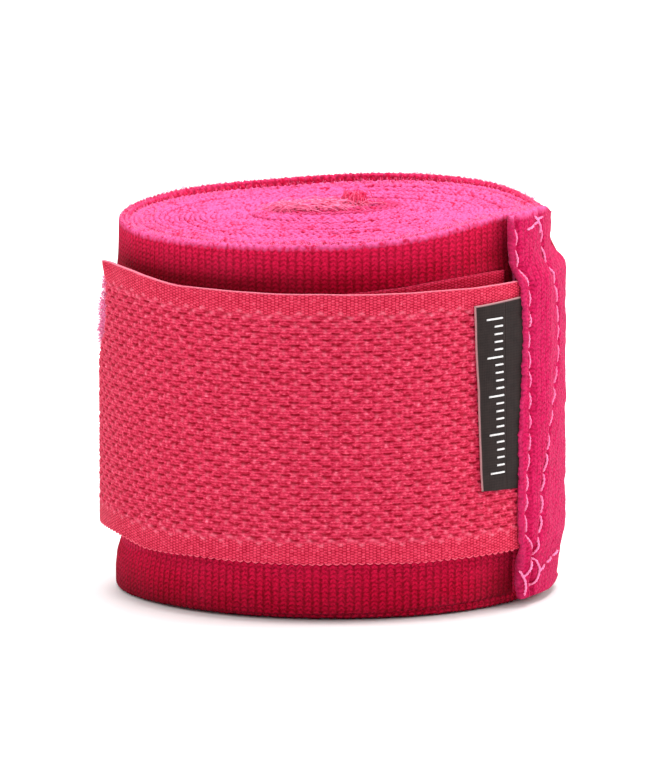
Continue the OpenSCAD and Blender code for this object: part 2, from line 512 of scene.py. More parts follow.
def tuck(u, z):
    """Inward shift: the hem's ends are pinched by its sewing, and the closure squeezes the left side."""
    phi = facing(u)
    out = share_out(u)
    upper = 1.9 * MM * ramp(z, 43.6 * MM, 47.4 * MM) * bell(phi, 94.0, 34.0)
    lower = 0.8 * MM * ramp(z, 7.0 * MM, 1.0 * MM) * bell(phi, 90.0, 32.0)
    shoulder = 0.5 * MM * ramp(z, 39.0 * MM, 46.0 * MM) * bell(phi, -90.0, 55.0)
    waist = 1.0 * MM * bell(z, 7.2 * MM, 2.2 * MM) * bell(phi, -85.0, 45.0)
    return (upper + lower + shoulder + waist) * out ** 4


def foot_rise(u):
    """How far the strip's lower edge stands off the ground. The roll rests on its left side."""
    turn = np.asarray(u, float) / 360.0
    phi = facing(u)
    rise = 0.85 - 0.85 * bell(phi, -75.0, 50.0) + 0.75 * bell(phi, 62.0, 34.0)
    rise = rise + 0.12 * np.sin(np.radians(5 * phi)) * bell(phi, -80.0, 60.0)
    return (0.15 + rise * ramp(turn, 2.2, 1.0)) * MM


print("rim at the hem", round(float(rim_rise(0.0)) * 1000, 2), "mm above the plain width")

# %% [markdown]
# ## Elastic strip: mesh
# The section of the strip is a thin rounded rectangle, and it is swept along the winding. Its edge
# rounds rope-like over the top. Where the wall shows, the ribs are real: a rounded column each
# millimetre, six rows of points to a rib. Hidden turns need only their edges, so their walls are plain.

# %% Strip section and sweep
EDGE = 0.36 * MM


def strip_section(wall_rows):
    """Offsets round the strip's section: lift share, height share, edge rounding and crest tag."""
    wall = np.append(np.linspace(0.0, 0.99, wall_rows - 1), 1.0)
    rows = [(1.0, h, 0.0, 0.0) for h in wall]
    for turn in (35, 65, 90, 115, 145):
        rows.append((math.cos(math.radians(turn)), 1.0, math.sin(math.radians(turn)), 1.0))
    rows += [(-1.0, h, 0.0, 0.0) for h in (1.0, 0.985, 0.0)]
    rows.append((0.0, 0.0, -1.0, 1.0))
    return np.array(rows)


def wind_strip(name, from_u, to_u, step, wall_rows, ribs, thick=0.64 * MM):
    """A stretch of the wound strip, swept along the winding with its edges and ribs."""
    lengths = np.arange(length_at(from_u), length_at(to_u) + step, step)
    lengths[-1] = length_at(to_u)
    u = angle_at(lengths)[:, None]
    section = strip_section(wall_rows)
    side, level, round_off, crest = (section[:, k][None, :] for k in range(4))
    s = lengths[:, None]
    turn = u / 360.0
    rope = np.sin(2 * math.pi * s / ROPE + 5.0 * turn)
    rope2 = drift(s, 3.1 * ROPE, 0.7)
    top = STRIP_W - EDGE + rim_rise(u) + (0.10 * rope + 0.07 * rope2) * MM
    bottom = foot_rise(u) + EDGE + (0.05 * rope + 0.05 * drift(s, 4.3 * MM, 1.9)) * MM
    z = bottom + (top - bottom) * level + EDGE * round_off
    half = thick / 2
    lift = half * side + 0.09 * MM * np.sin(2 * math.pi * s / ROPE + 5.0 * turn + 1.6) * crest
    rib = np.abs(np.cos(math.pi * s / (RIB * MM))) ** 1.1 - 0.5
    near = ramp(level, 0.0, 0.02) * ramp(level, 1.0, 0.98) * 0.5 + 0.5
    lift = lift + ribs * rib * near * (side > 0.9)
    lift = lift + 0.10 * MM * drift(s + z * 0.4, 37 * MM, 0.4) * (ribs > 0) * (1 - crest)
    lift = lift - tuck(u, z)
    points = on_roll(u, lift, z)
    blank = np.zeros(lift.shape)
    uv = np.stack([s + blank, z + blank], axis=-1)
    # Painted highlight on the upper edge, read by the material as the crest tag: weaker at the back of the
    # outer turns and on the innermost ones.
    back = ramp(-np.cos(np.radians(facing(u))), -0.45, 0.25)
    glow = ramp(z - top, -0.30 * MM, 0.2 * MM) * (1 - 0.75 * ramp(turn, 2.3, 1.3) * back)
    glow = glow * (1 - 0.55 * ramp(turn, 28.8, 30.5))
    phi = facing(u)
    # Painted shade on the wall above the tape, near the floor and beside the hem.
    painted_shade = 0.75 * ramp(z, 48.2 * MM, 44.4 * MM) * ramp(z, 30 * MM, 40 * MM) * around(phi, -50.0, 62.0)
    painted_shade = painted_shade + (0.18 + 0.45 * around(phi, -60.0, 38.0)) * ramp(z, 4.5 * MM, 0.5 * MM)
    painted_shade = painted_shade + 0.6 * bell(phi, 50.0, 7.0)
    lit = 0.50 * ramp(top - z, 4.6 * MM, 0.6 * MM) + 0.45 * bell(z, 7.6 * MM, 2.2 * MM)
    lit = np.where(side < 0, 0.8, lit * ramp(turn, 1.6, 1.3))
    painted_shade = (painted_shade * ramp(turn, 1.6, 1.3)).clip(0, 0.85)
    tags = {"crest": glow + blank, "painted_shade": painted_shade + blank, "lit": lit + blank}
    return swept_mesh(name, points, uv, tags)


CORE_FROM = 17 * 360.0 + TAIL_SPAN
CORE_TO = WIND_END - 30.0
OUTER_TO = 500.0
SEAM_U = 100.0
TAIL_FROM = 3.4

core_turns = wind_strip("core_turns", CORE_FROM, CORE_TO, 0.25 * MM, 3, 0.0)
middle_turns = wind_strip("middle_turns", OUTER_TO, CORE_FROM, 0.30 * MM, 3, 0.0)
outer_turn = wind_strip("outer_turn", SEAM_U, OUTER_TO, 0.18 * MM, 26, 0.16 * MM)
strip_tail = wind_strip("strip_tail", TAIL_FROM, SEAM_U, 0.18 * MM, 26, 0.16 * MM)
for piece in (core_turns, middle_turns, outer_turn, strip_tail):
    piece.data.materials.append(wrap_cloth)
    print(piece.name, len(piece.data.polygons), "faces")

# %% Strip pieces on the roll's body, and the tail left in place
for piece, node, start, end in (
    (core_turns, "wrap_core_turns", CORE_FROM, CORE_TO),
    (middle_turns, "wrap_middle_turns", OUTER_TO, CORE_FROM),
    (outer_turn, "wrap_outer_turns", SEAM_U, OUTER_TO),
):
    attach(piece, "roll")
    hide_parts(node)
    run = float(length_at(end) - length_at(start))


spot(TAIL_SPAN + 4, FACE, MID_HEIGHT)
spot(TAIL_SPAN - 5, FACE, MID_HEIGHT)
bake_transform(strip_tail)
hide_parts("wrap_tail")

# %% [markdown]
# ## Threads, loops and hairs
# Sewing thread, pile loops, hooks and stray fibres are all thin tubes. One function builds a whole
# group of equal tubes at once from an array of paths, so that thousands of them stay light: only a few
# sides round, and a few rings along.

# %% Groups of thin tubes
def outward(points):
    """Horizontal directions away from the roll's axis."""
    away = points - np.array([AXIS.x, AXIS.y, 0.0])
    away = away * np.array([1.0, 1.0, 0.0])
    return away / np.maximum(np.linalg.norm(away, axis=-1, keepdims=True), 1e-9)


def frames_along(paths):
    """Tangents and two cross directions at every point of every path."""
    tangent = np.gradient(paths, axis=1)
    tangent = tangent / np.maximum(np.linalg.norm(tangent, axis=-1, keepdims=True), 1e-12)
    guide = outward(paths) + np.array([0.013, 0.007, 0.011])
    first = np.cross(tangent, guide)
    first = first / np.maximum(np.linalg.norm(first, axis=-1, keepdims=True), 1e-12)
    return tangent, first, np.cross(tangent, first)


def tube_group(name, paths, radii, sides, material, tag=None):
    """One mesh of many tubes. paths is (tubes, rings, 3) and radii is (tubes, rings) or a number."""
    paths = np.asarray(paths, float)
    count, rings = paths.shape[:2]
    radii = np.broadcast_to(np.asarray(radii, float), (count, rings))
    _, first, second = frames_along(paths)
    turn = 2 * math.pi * np.arange(sides) / sides
    ring = (first[:, :, None, :] * np.cos(turn)[None, None, :, None]
            + second[:, :, None, :] * np.sin(turn)[None, None, :, None])
    points = paths[:, :, None, :] + radii[:, :, None, None] * ring
    index = np.arange(count * rings * sides).reshape(count, rings, sides)
    nxt = np.roll(index, -1, axis=2)
    quads = np.stack([index[:, :-1], index[:, 1:], nxt[:, 1:], nxt[:, :-1]], axis=-1).reshape(-1, 4)
    caps = np.concatenate([index[:, 0], index[:, -1, ::-1]])
    mesh = bpy.data.meshes.new(name)
    mesh.from_pydata(points.reshape(-1, 3).tolist(), [], quads.tolist() + caps.tolist())
    mesh.update()
    if mesh.polygons[0].normal.dot(Vector(points[0, 0, 0] - paths[0, 0])) < 0:
        mesh.flip_normals()
    mesh.polygons.foreach_set("use_smooth", np.ones(len(mesh.polygons), bool))
    if tag is not None:
        values = np.broadcast_to(np.asarray(tag, float)[:, None, None], (count, rings, sides))
        add_tag(mesh, "tint", values)
    mesh.materials.append(material)
    group = bpy.data.objects.new(name, mesh)
    bpy.context.scene.collection.objects.link(group)
    return group


def two_ply(paths, spread, pitch):
    """Each path as two yarns that twist round it once in every pitch."""
    _, first, second = frames_along(paths)
    steps = np.linalg.norm(np.diff(paths, axis=1), axis=-1)
    run = np.concatenate([np.zeros((len(paths), 1)), np.cumsum(steps, axis=1)], axis=1)
    angle = (2 * math.pi * run / pitch)[..., None]
    offset = spread * (first * np.cos(angle) + second * np.sin(angle))
    return np.concatenate([paths + offset, paths - offset])


print("tube helpers ready")

# %% Thread and fibre materials
def fibre_material(name, light, dark, roughness, sheen):
    """A plain yarn whose shade drifts along its length, and from yarn to yarn by their tint tag."""
    material, tree, shader = cloth_material(name, roughness, sheen, rgba(1.0, 0.6, 0.8))
    shade = grain(tree, 1800.0)
    tint = tag_value(tree, "tint")
    colour = blend_colour(tree, ((shade - 0.5) * 1.2 + 0.5).clamp(), dark, light)
    colour = blend_colour(tree, tint * 0.6, colour, dark)
    finish_cloth(tree, shader, colour, shade, 0.35, 0.00006)
    return material


pale_yarn = fibre_material("pale_yarn", rgba(0.98, 0.42, 0.66), rgba(0.90, 0.14, 0.38), 0.55, 0.3)
pile_yarn = fibre_material("pile_yarn", rgba(0.98, 0.38, 0.62), rgba(0.82, 0.06, 0.24), 0.8, 0.4)
core_yarn = fibre_material("core_yarn", rgba(1.0, 0.42, 0.70), rgba(0.74, 0.008, 0.085), 0.8, 0.0)
hook_nylon = fibre_material("hook_nylon", rgba(0.90, 0.16, 0.24), rgba(0.62, 0.03, 0.07), 0.4, 0.1)
print("yarns", pale_yarn.name, pile_yarn.name, core_yarn.name, hook_nylon.name)

# %% [markdown]
# ## Hem: its skin
# At the outer end the strip is folded over the hook tape's root and sewn through with two rows. The
# hem is a padded band: it bulges between the rows, dips at every stitch, and its front edge is a
# knotty bead that covers the tape. Above and below the tape there are fewer layers, so it is thinner.

# %% Hem skin
HEM_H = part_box("hem_fold")[1].z
HEM_END = 36.0
TAPE_LOW, TAPE_HIGH = (corner.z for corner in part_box("hook_tape_1"))
STITCH_PITCH = 2.72 * MM


def front_row(z):
    """Winding angle of the front seam at height z."""
    wave = 0.75 * np.cos(z / MM * 0.26) + 1.6 * bell(z, 0.036, 0.009)
    return 3.4 + wave - 2.9 * ramp(z, 0.0425, 0.0465) + 3.0 * ramp(z, 0.0100, 0.0068)


def rear_row(z):
    """Winding angle of the rear seam, which bows towards the back in its middle."""
    return 6.6 + 1.7 * ramp(z, 0.0068, 0.0105) + 14.2 * bell(z, 0.035, 0.013) + 2.6 * ramp(z, 0.044, 0.049)


def hem_edge(z):
    """Winding angle of the hem's front edge."""
    wave = 0.22 * drift(z, 9 * MM, 0.8) + 1.7 * bell(z, 0.036, 0.009)
    return wave - 0.5 - 0.4 * ramp(z, 0.0425, 0.0465) + 2.4 * ramp(z, 0.0095, 0.0060)


def over_tape(z):
    """1 where the hook tape lies inside the hem, 0 above and below it."""
    above_foot = ramp(z, TAPE_LOW - 2 * MM, TAPE_LOW + 1.2 * MM)
    return above_foot * ramp(z, TAPE_HIGH + 2 * MM, TAPE_HIGH - 1.2 * MM)


def hem_skin(u, z):
    """Lift of the hem's outer skin."""
    layers = over_tape(z)
    lift = (1.35 + 0.75 * layers - 0.52 * ramp(u, 16.0, HEM_END)) * MM
    lift = lift - 0.45 * MM * layers * ramp(u, 12.0, 18.0)
    stitch = 0.5 + 0.5 * np.cos(2 * math.pi * (z - 2.0 * MM) / STITCH_PITCH)
    front, rear = front_row(z), rear_row(z)
    lift = lift + 0.45 * MM * bell(u, front - 2.4, 1.9)
    lift = lift - (0.48 + 0.18 * stitch) * MM * bell(u, front, 0.85 + 0.35 * stitch)
    lift = lift - (0.32 + 0.13 * stitch) * MM * bell(u, rear, 0.85 + 0.3 * stitch)
    lift = lift + 0.24 * MM * bell(u, (front + rear) / 2, 4.5)
    lift = lift + 0.10 * MM * drift(z + u * 0.4 * MM, 8.3 * MM, 2.2)
    lift = lift + 0.06 * MM * drift(z - u * 0.7 * MM, 3.4 * MM, 0.3)
    return lift - tuck(u, z)


print("hem skin at its middle", round(float(hem_skin(8.0, 0.02)) * 1000, 2), "mm above the strip's middle")

# %% [markdown]
# ## Hem: mesh
# The section runs once round the folded cloth: over the outer skin with its ribs, round the rear
# edge, back along the inside, and round the knotty front bead. It is swept up the height of the roll,
# and squeezed at both ends, so that the fold looks soft and not sawn off.

# %% Hem mesh
ROUND_END = 0.5 * MM
BEAD_SPAN = 0.9


def hem_mesh():
    """The folded hem, with both ends rounded over ROUND_END and a front bead BEAD_SPAN degrees deep."""
    ends = ROUND_END * (1 - np.cos(np.linspace(0.12, 1.0, 6) * math.pi / 2))
    rows = np.arange(0.55 * MM, HEM_H - ROUND_END, 0.19 * MM)
    z = np.concatenate([ends, rows, HEM_H - ends[::-1]])[:, None]
    inside = np.clip(np.minimum(z, HEM_H - z) / ROUND_END, 0, 1)
    squeeze = np.sqrt(np.clip(1 - (1 - inside) ** 2, 0.02, 1))
    skin = np.linspace(0.0, 1.0, 118)[None, :]
    edge = hem_edge(z) - 0.10 * np.abs(np.sin(math.pi * z / (0.92 * MM))) + 1.0 * ramp(z, 0.0025, 0.0)
    depth = HEM_END - edge - BEAD_SPAN
    u_out = edge + BEAD_SPAN + depth * skin
    s = length_at(u_out)
    ribs = (np.abs(np.cos(math.pi * s / (RIB * MM))) ** 1.3 - 0.5) * 0.05 * MM
    courses = 0.015 * MM * np.sin(2 * math.pi * z / (0.53 * MM) + 2.6 * np.cos(2 * math.pi * s / (RIB * MM)))
    out_lift = hem_skin(u_out, z) + (ribs + courses) * ramp(skin, 0.0, 0.05)
    u_in = edge + BEAD_SPAN + depth * np.linspace(1.0, 0.0, 24)[None, :]
    folded = 1.0 * ramp(u_in, 17.0, 14.5) + 0.42 * ramp(u_in, 3.0, 1.0)
    in_lift = (0.36 + over_tape(z) * folded) * MM - tuck(u_in, z)
    bead = np.radians(np.linspace(-80, 80, 9))[None, :]
    low, high = in_lift[:, -1:], out_lift[:, :1]
    knots = 0.05 * MM * np.sin(2 * math.pi * z / (0.9 * MM)) + 0.12 * MM * drift(z, 2.3 * MM, 1.1)
    u_bead = edge + BEAD_SPAN - (BEAD_SPAN + np.degrees(knots / ROLL_R)) * np.cos(bead)
    lift_bead = (low + high) / 2 + (high - low) / 2 * np.sin(bead) * 1.06
    u = np.concatenate([u_out, u_in, u_bead], axis=1)
    lift = np.concatenate([out_lift, in_lift, lift_bead], axis=1)
    pinch = tuck(u, z)
    middle = (lift + pinch).mean(axis=1, keepdims=True)
    lift = middle + (lift + pinch - middle) * squeeze - pinch
    rise = 0.25 * MM * np.sin(np.radians(u * 9.0)) * ramp(z, 0.049, HEM_H)
    rise = rise + (1.05 + 0.5 * ramp(u, 20.0, 36.0)) * MM * ramp(z, 0.012, 0.0)
    top = z + rise - 2.0 * MM * ramp(u, 17.0, 37.0) * ramp(z, 0.043, HEM_H)
    points = on_roll(u, lift, top)
    uv = np.stack([length_at(u), top + 0 * u], axis=-1)
    # Painted highlight: the hem's top edge and its front bead are blended towards the pinker edge colour.
    tags = {"crest": 0.8 * ramp(top, HEM_H - 0.9 * MM, HEM_H) + 0.12 * ramp(u, edge + 1.4, edge + 0.2)}
    return swept_mesh("sewn_hem", points, uv, tags)


sewn_hem = hem_mesh()
sewn_hem.data.materials.append(hem_cloth)
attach(sewn_hem, "tail")
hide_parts("hem_fold")
print("hem", len(sewn_hem.data.polygons), "faces")

# %% [markdown]
# ## Hem: its stitches
# A lockstitch shows as a row of short arcs: the thread dives into the cloth at both ends and slants
# between the holes, because it is twisted. Each arc is a two-ply yarn that follows the hem's own skin,
# so it can't float or sink. The two short rows across and the cut ends are listed one by one.

# %% Hem stitches
def stitches(name, tracks, node, body, bow=1.0, rings=22):
    """Two-ply stitches on the hem. A track is (u, z) of the start, (u, z) of the end, and its own bow."""
    t = np.linspace(0.0, 1.0, rings)
    paths = []
    for (u0, z0), (u1, z1), *own in tracks:
        arc = np.sin(math.pi * t)
        u = u0 + (u1 - u0) * t + (own[0] if own else bow) * arc
        z = z0 + (z1 - z0) * t
        lift = hem_skin(u, z) + (0.15 - 0.32 * (1 - arc.clip(0, 1) ** 0.3)) * MM
        paths.append(on_roll(u, lift, z))
    yarns = two_ply(np.array(paths), 0.085 * MM, 0.95 * MM)
    group = tube_group(name, yarns, 0.098 * MM, 7, pale_yarn, rng.uniform(0.0, 0.7, len(yarns)))
    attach(group, body)
    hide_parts(node)
    print(name, len(tracks), "stitches")
    return group


def seam_tracks(row, first, last, share):
    """Tracks of one seam's stitches: share is how much of the pitch shows as thread."""
    starts = np.arange(first, last, STITCH_PITCH)
    starts = starts + rng.uniform(-0.12, 0.12, len(starts)) * MM
    ends = starts + STITCH_PITCH * share
    slant = rng.uniform(0.1, 0.5, len(starts))
    return [((float(row(a)) + k, a), (float(row(b)) - k, b)) for a, b, k in zip(starts, ends, slant)]


front_seam = stitches("front_seam", seam_tracks(front_row, 7.5 * MM, 49.5 * MM, 0.88),
                      "hem_front_stitches", "tail", bow=0.12)
rear_seam = stitches("rear_seam", seam_tracks(rear_row, 6.9 * MM, 49.0 * MM, 0.85),
                     "hem_rear_stitches", "tail", bow=0.5)
cross_tracks = [((5.9, 50.3 * MM), (8.5, 50.7 * MM)), ((9.2, 50.8 * MM), (11.9, 51.1 * MM)),
                ((12.4, 51.1 * MM), (15.6, 51.3 * MM)), ((9.1, 51.9 * MM), (13.6, 49.3 * MM), 1.0),
                ((11.1, 4.3 * MM), (13.8, 4.8 * MM)), ((15.2, 5.1 * MM), (17.9, 5.5 * MM)),
                ((19.6, 5.6 * MM), (22.5, 6.0 * MM)), ((7.5, 2.6 * MM), (6.3, 6.6 * MM), 3.2),
                ((2.7, 4.1 * MM), (6.1, 6.4 * MM))]
cross_seams = stitches("cross_seams", cross_tracks, "hem_cross_stitches", "tail", bow=0.15)
end_tracks = [((3.3, 1.5 * MM), (1.6, 5.0 * MM), 0.8), ((5.8, 2.9 * MM), (7.2, 1.7 * MM))]
thread_ends = stitches("thread_ends", end_tracks, "thread_tails", "tail", bow=0.2)

# %% [markdown]
# ## Hook tape: its weave
# The tape's outer face is woven: two plain selvedges, and between them columns of short floats. Each
# float leaves a dark curved slit over a raised knot, and neighbouring columns are half a step apart.
# The face is real relief on a fine grid, and two tags, pit and knot, tell the material where to
# paint shade in the slits and highlights on the knots and the edge thread.

# %% Hook tape weave
HOOK_SPAN = 136.0
HOOK_RUN = 74.3 * MM
HOOK_LIFT = 1.70 * MM
COLUMN = 1.37 * MM
FLOAT = 1.52 * MM
SELVEDGE = 2.8 * MM
LOOP_PITCH = 1.09 * MM


def tape_angle(s):
    """Winding angle at a length s along the hook tape from the hem's edge."""
    return -HOOK_SPAN * np.asarray(s, float) / HOOK_RUN


def tape_slack(s):
    return 0.4 * MM * (np.maximum(s, 0) / HOOK_RUN) ** 2


def tape_weave(s, z, low, high):
    """Relief of the outer face, and its pit and knot tags."""
    s = s + 0.07 * MM * drift(z, 6.1 * MM, 0.2) + 0.05 * MM * drift(z + s, 3.3 * MM, 1.2)
    slit = lip = knot = np.zeros(np.broadcast(s, z).shape)
    for parity in (0, 1):
        pair = s / (2 * COLUMN) - 0.5 * parity
        column = 2 * np.round(pair) + parity
        side = 4 * (pair - np.round(pair))
        row = z / FLOAT + 0.5 * parity + 0.08 * np.sin(2.7 * column)
        cell = np.floor(row)
        odd = np.sin(12.99 * column + 78.23 * cell)
        even = np.sin(39.35 * column + 17.77 * cell)
        dz = (row - cell - 0.5) * FLOAT - (0.15 * side ** 2 - 0.08 + 0.05 * odd + 0.05 * even * side) * MM
        reach = ramp(np.abs(side + 0.2 * even), 1.22 + 0.14 * odd, 0.60)
        slit = np.maximum(slit, bell(dz, 0.0, 0.15 * MM) * reach * (0.85 + 0.15 * even))
        lip = np.maximum(lip, bell(dz, 0.33 * MM, 0.17 * MM) * reach)
        bump = bell(dz, -0.55 * MM, 0.40 * MM) * bell(side, 0.2 * even, 0.34)
        knot = np.maximum(knot, bump * (0.75 + 0.25 * odd))
    edge_in = np.minimum(z - low, high - z)
    field = ramp(edge_in, SELVEDGE - 0.25 * MM, SELVEDGE + 0.35 * MM)
    hem_thread = bell(edge_in, SELVEDGE + 0.32 * MM * np.sin(math.pi * s / COLUMN), 0.20 * MM)
    wander = 0.6 * drift(s, 7 * MM, 0.4)
    hem_thread = hem_thread * (0.5 + 0.5 * np.cos(2 * math.pi * s / COLUMN + math.pi + wander))
    weft = 0.028 * MM * np.sin(2 * math.pi * (z + 0.05 * MM * drift(s, 1.9 * MM)) / (0.40 * MM)) * field
    relief = field * (0.04 * lip + 0.12 * knot - 0.28 * slit) * MM + weft
    relief = relief + 0.10 * MM * hem_thread + 0.05 * MM * drift(s + 0.3 * z, 17 * MM, 0.9)
    return relief, field * slit, np.clip(field * knot + 1.3 * hem_thread, 0, 1.5)


def tape_edges(s):
    """Heights of the hook tape's lower and upper edge at a length along it."""
    low = TAPE_LOW + 0.75 * MM + 0.9 * MM * ramp(s, 0.055, 0.066)
    low = low + 0.1 * MM * np.abs(np.sin(math.pi * s / LOOP_PITCH))
    high = TAPE_HIGH + 0.9 * MM * ramp(s, 0.050, 0.068)
    return low + 0.08 * MM * drift(s, 21 * MM, 0.5), high + 0.05 * MM * drift(s, 15 * MM, 2.0)


def tape_end(z):
    """Length along the tape where its cut end lies: the cut draws back over its upper half."""
    back = 5.4 * ramp(z, 0.0295, 0.0365) + 0.9 * ramp(z, 0.0365, TAPE_HIGH)
    return HOOK_RUN + (0.3 - back + 0.25 * drift(z, 5 * MM, 1.4)) * MM


# %% Hook tape material
def tape_material(name, shade, pale):
    """Woven tape. Its dyes are multiplied by shade, which makes a darker copy for painted shade, and their
    paleness by pale.
    """
    material, tree, shader = cloth_material(name, 0.7, 0.04, rgba(1.0, 0.35, 0.5))
    along, across = cloth_run(tree)
    pit = tag_value(tree, "pit")
    knot = tag_value(tree, "knot")
    border = tag_value(tree, "border")
    selvedge = tag_value(tree, "selvedge")
    warp = along / 0.5
    odd = (warp.floor() * 0.5).fract() * 2.0
    brick = (across / 0.37 + odd * 0.5).cosine()
    seam = (warp.fract() - 0.5).abs().between(0.30, 0.5)
    plain = (brick * 0.8 + 0.2) * (1.0 - seam * 0.75)
    strand = streaks(tree, along, across, 0.5, 0.16)
    fine = (across / 0.40 + strand * 1.6).cosine()
    speck = grain(tree, 2300.0, 4.0)

    def dye(red, green, blue):
        return rgba(red * shade, green * shade * pale, blue * shade * (0.5 + 0.5 * pale))

    tone = (fine * 0.45 + (speck - 0.5) * 1.5 + (strand - 0.5) * 1.3 + 0.28).clamp()
    cloth = (plain * 0.9 + (speck - 0.5) * 1.2).clamp()
    woven = blend_colour(tree, cloth, dye(0.30, 0.0015, 0.016), dye(0.76, 0.050, 0.112))
    field = blend_colour(tree, tone, dye(0.32, 0.0015, 0.018), dye(0.74, 0.048, 0.115))
    colour = blend_colour(tree, selvedge, field, woven)
    # Painted shade in the slits, painted highlights on the knots and the edge thread, and painted glints
    # over the face.
    colour = blend_colour(tree, (pit * 1.15).clamp(), colour, dye(0.27, 0.0006, 0.012))
    glint = (speck * 0.5 + strand * 0.5).between(0.56, 0.68)
    colour = blend_colour(tree, (knot * (0.38 + glint * 0.6)).clamp(), colour, dye(0.90, 0.20, 0.29))
    colour = blend_colour(tree, glint * (1.0 - pit) * 0.35, colour, dye(0.95, 0.24, 0.33))
    colour = blend_colour(tree, border, colour, dye(0.92, 0.28, 0.38))
    height = selvedge * plain * 0.7 + (1.0 - selvedge) * fine * 0.35 + speck * 0.4 + strand * 0.5
    finish_cloth(tree, shader, colour, height, 0.6, 0.00013)
    return material


tape_cloth = tape_material("tape_cloth", 1.0, 1.0)
# A darker, deeper red copy for the loop tape's backing: painted shade where it lies recessed under the hook
# tape and beside the hem's fold.
shaded_loop_weave = tape_material("shaded_loop_weave", 0.78, 0.42)
print("materials", tape_cloth.name, shaded_loop_weave.name)

# %% [markdown]
# ## Hook tape: four stretches
# The tape peels like a strap, so the frame gives it four stretches with a hinge between each two.
# A cloth must not break there. Each visible piece therefore runs from the middle of one stretch to the
# middle of the next. The last piece ends in the slanted cut, whose upper
# corner has turned outwards.

# %% Hook tape mesh
TAPE_ROOT = -7.0 * MM
PART = HOOK_RUN / 4
TAPE_STEP = 0.132 * MM
TAPE_ROWS = 286
INNER_ROWS = 16
TAPE_THICK = 0.5 * MM
BEND_REACH = 3 * MM
ROOT_BEND = (-0.8 * MM, 2.2 * MM)


def tape_grid(from_s, to_s):
    """Lengths s and heights z of a stretch's points; to_s may be a rule of the height."""
    across = np.linspace(0.0, 1.0, TAPE_ROWS)[None, :]
    end = HOOK_RUN if callable(to_s) else to_s
    steps = int(math.ceil(end / TAPE_STEP - from_s / TAPE_STEP))
    t = np.linspace(0.0, 1.0, steps + 1)[:, None]
    s = from_s + (end - from_s) * t + 0 * across
    low, high = tape_edges(s)
    z = low + (high - low) * across
    if callable(to_s):
        s = from_s + (to_s(z) - from_s) * t
    return s, z, low, high


def tape_lift(s, z):
    """Lift of the tape's plain outer face: slack towards the end, and the corner that has turned out."""
    ear = ramp(z, 40.8 * MM, 44.4 * MM) * ramp(s, tape_end(z) - 2.6 * MM, tape_end(z))
    curl = 0.10 * MM * ramp(s, HOOK_RUN - 14 * MM, HOOK_RUN)
    sink = 0.5 * MM * ramp(s, 0.0, -5.0 * MM)
    return HOOK_LIFT + 0.25 * tape_slack(s) + 0.55 * MM * ear + curl - sink


def tape_piece(name, from_s, to_s):
    """One stretch of the tape: the woven outer face, and a plain inner face with fewer rows."""
    s, z, low, high = tape_grid(from_s, to_s)
    relief, pit, knot = tape_weave(s, z, low, high)
    outer = tape_lift(s, z) + relief
    pick = np.linspace(TAPE_ROWS - 1, 0, INNER_ROWS).astype(int)
    inner = (tape_lift(s, z) - TAPE_THICK)[:, pick]
    lifts = np.concatenate([outer, inner], axis=1)
    s_all = np.concatenate([s, s[:, pick]], axis=1)
    z_all = np.concatenate([z, z[:, pick]], axis=1)
    low_all, high_all = (np.broadcast_to(v[:, :1], z_all.shape) for v in (low, high))
    points = on_roll(tape_angle(s_all), lifts, z_all)
    blank = np.zeros((len(s), INNER_ROWS))
    edge_in = np.minimum(z_all - low_all, high_all - z_all)
    cut = ramp(s_all, tape_end(z_all) - 0.22 * MM, tape_end(z_all))
    tags = {
        "pit": np.concatenate([pit, blank], axis=1),
        "knot": np.concatenate([knot, blank], axis=1),
        "selvedge": ramp(edge_in, SELVEDGE + 0.2 * MM, SELVEDGE - 0.2 * MM),
        "border": 0.62 * np.maximum(ramp(high_all - z_all, 0.15 * MM, 0.04 * MM), 0.7 * cut),
    }
    piece = swept_mesh(name, points, np.stack([s_all, z_all], axis=-1), tags)
    piece.data.materials.append(tape_cloth)
    return piece


def on_tape(s):
    """A point of the hook tape at half height, as a tuple."""
    return spot(tape_angle(s), HOOK_LIFT + tape_slack(s), MID_HEIGHT)


tape_spans = ((TAPE_ROOT, 0.5 * PART), (0.5 * PART, 1.5 * PART),
              (1.5 * PART, 2.5 * PART), (2.5 * PART, tape_end))
tape_bends = (("tail", "hook_1", *ROOT_BEND),
              ("hook_1", "hook_2", PART - BEND_REACH, PART + BEND_REACH),
              ("hook_2", "hook_3", 2 * PART - BEND_REACH, 2 * PART + BEND_REACH),
              ("hook_3", "hook_4", 3 * PART - BEND_REACH, 3 * PART + BEND_REACH))
tape_nodes = (("hook_tape_root", "hook_tape_1"), ("hook_tape_2",), ("hook_tape_3",), ("hook_tape_4",))


def bend_with_tape(piece, number):
    """Keeps a piece where it is, with its transform baked into its mesh."""
    first, second, start, end = tape_bends[number]
    on_tape(start)
    on_tape(end)
    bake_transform(piece)


for number, (from_s, to_s) in enumerate(tape_spans):
    piece = tape_piece(f"hook_tape_cloth_{number + 1}", from_s, to_s)
    bend_with_tape(piece, number)
    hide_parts(*tape_nodes[number])
    run = (HOOK_RUN - 2.5 * MM if callable(to_s) else to_s) - from_s
    print(piece.name, len(piece.data.polygons), "faces")

# %% [markdown]
# ## Hook tape: its edge thread and hooks
# The lower selvedge ends in a row of tiny thread loops, where the weft turns back. The inner face
# carries the hooks: stiff nylon crooks in rows, each a bent tube with four sides.

# %% Edge loops and hooks
HOOK_PITCH = 1.05 * MM


